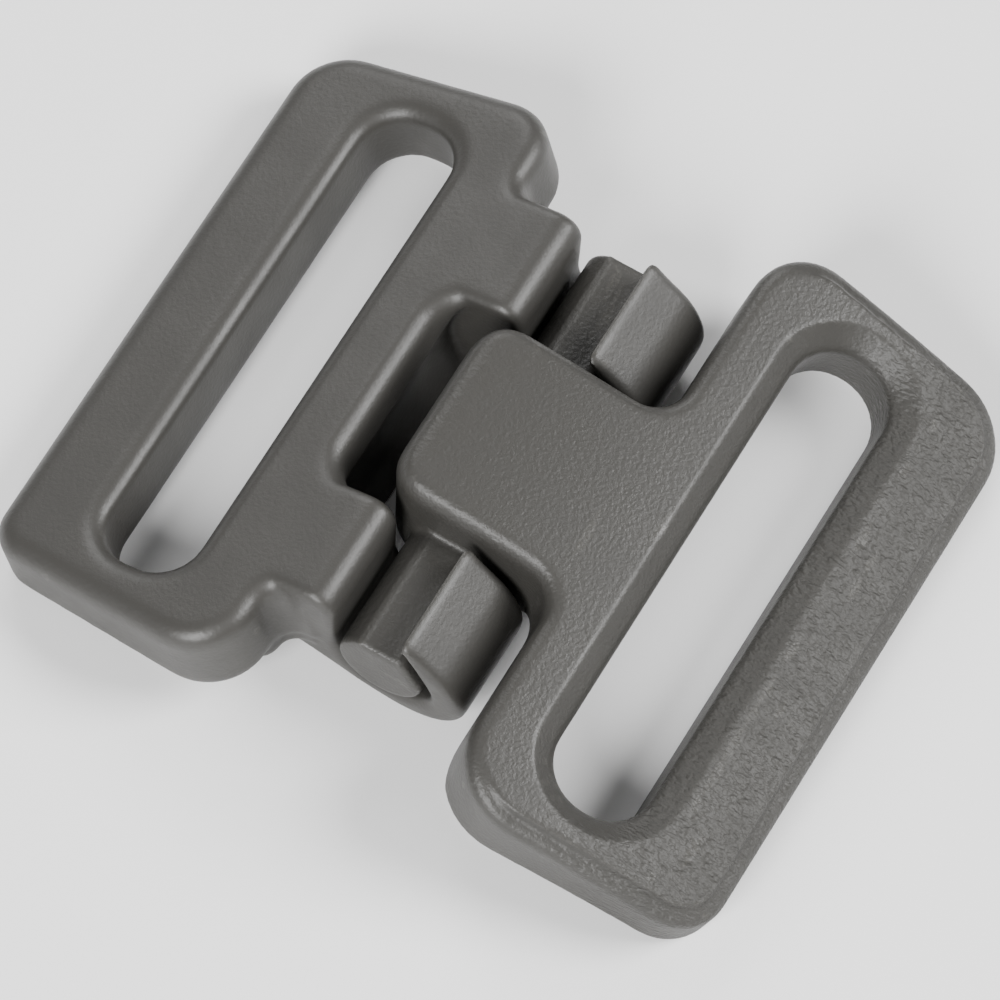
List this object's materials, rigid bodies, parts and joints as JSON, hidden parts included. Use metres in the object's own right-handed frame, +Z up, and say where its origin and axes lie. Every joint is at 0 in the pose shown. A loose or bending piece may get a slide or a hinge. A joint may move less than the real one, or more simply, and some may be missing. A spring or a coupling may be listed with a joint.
{
  "type": "twist buckle",
  "caption": "Plastic twist buckle for 25 mm webbing: an axle half with a flattened cross pin turns in the open cradles of a hook half, and a web slot runs across each half.",
  "frame": {"origin": "middle of the outline, on the surface that the buckle lies on", "axes": "+X along the webbing from the hook half to the axle half, +Y along the cross pin, +Z up"},
  "size_m": [0.038, 0.0318, 0.0089],
  "materials": {
    "hook_half_plastic": "satin grey acetal, smooth moulded surface",
    "axle_half_plastic": "satin grey acetal, fine spark-eroded grain"
  },
  "bodies": {
    "hook_body": {"hook_half": "hook_half_plastic"},
    "axle_body": {"axle_half": "axle_half_plastic"}
  },
  "joints": [
    {"name": "pin_hinge", "type": "hinge", "parent": "hook_body", "child": "axle_body", "pos_m": [-0.00005, 0, 0.00385], "axis": [0, -1, 0], "range_deg": [-90, 90]}
  ]
}
